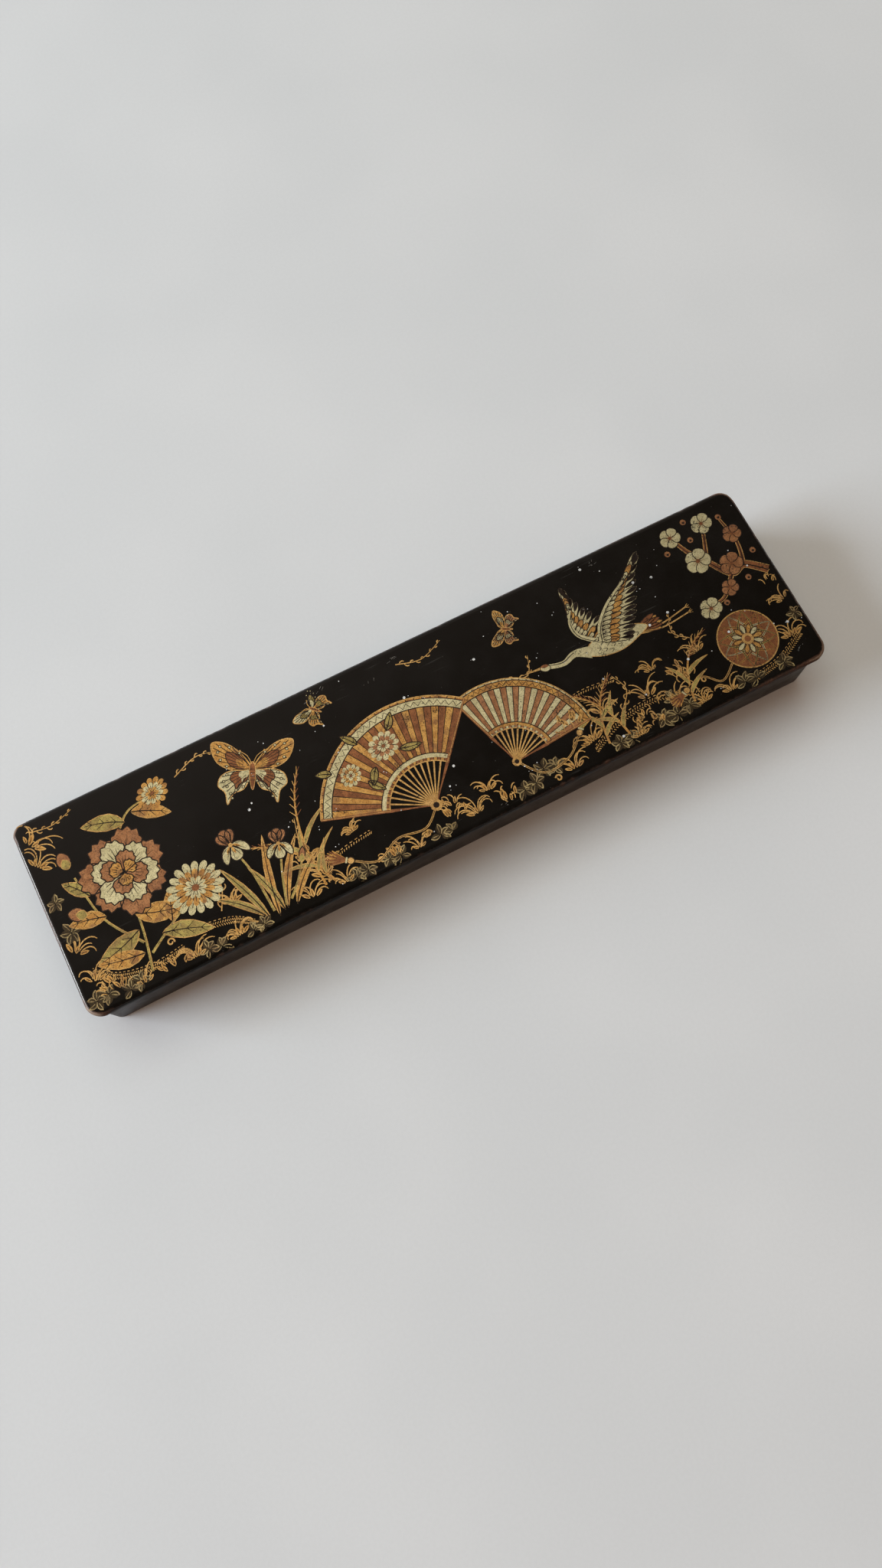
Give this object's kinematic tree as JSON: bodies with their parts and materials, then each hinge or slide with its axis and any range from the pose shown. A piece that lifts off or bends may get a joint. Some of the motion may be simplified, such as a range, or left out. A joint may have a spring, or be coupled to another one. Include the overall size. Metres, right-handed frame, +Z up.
{
  "type": "pen box",
  "caption": "Long, low lidded pen box of black-lacquered pasted card, with a lift-off lid, a nib well and notched pen rests inside.",
  "frame": {"origin": "centre of the underside, on the surface that the box stands on", "axes": "+X along the box towards its nib well, +Y across it towards the far side, +Z up"},
  "size_m": [0.25, 0.0642, 0.026],
  "materials": {
    "outer_lacquer": "gloss",
    "inner_lacquer": "satin",
    "lid_lacquer": "gloss"
  },
  "bodies": {
    "box": {"body_wall": "outer_lacquer", "floor_board": "outer_lacquer", "nib_partition": "inner_lacquer", "pen_rest_left": "inner_lacquer", "pen_rest_right": "inner_lacquer"},
    "lid": {"lid_rim": "inner_lacquer", "lid_board": "lid_lacquer"}
  },
  "joints": [
    {"name": "lid_lift", "type": "slide", "parent": "box", "child": "lid", "axis": [0, 0, 1], "range_m": [0, 0.08]}
  ]
}
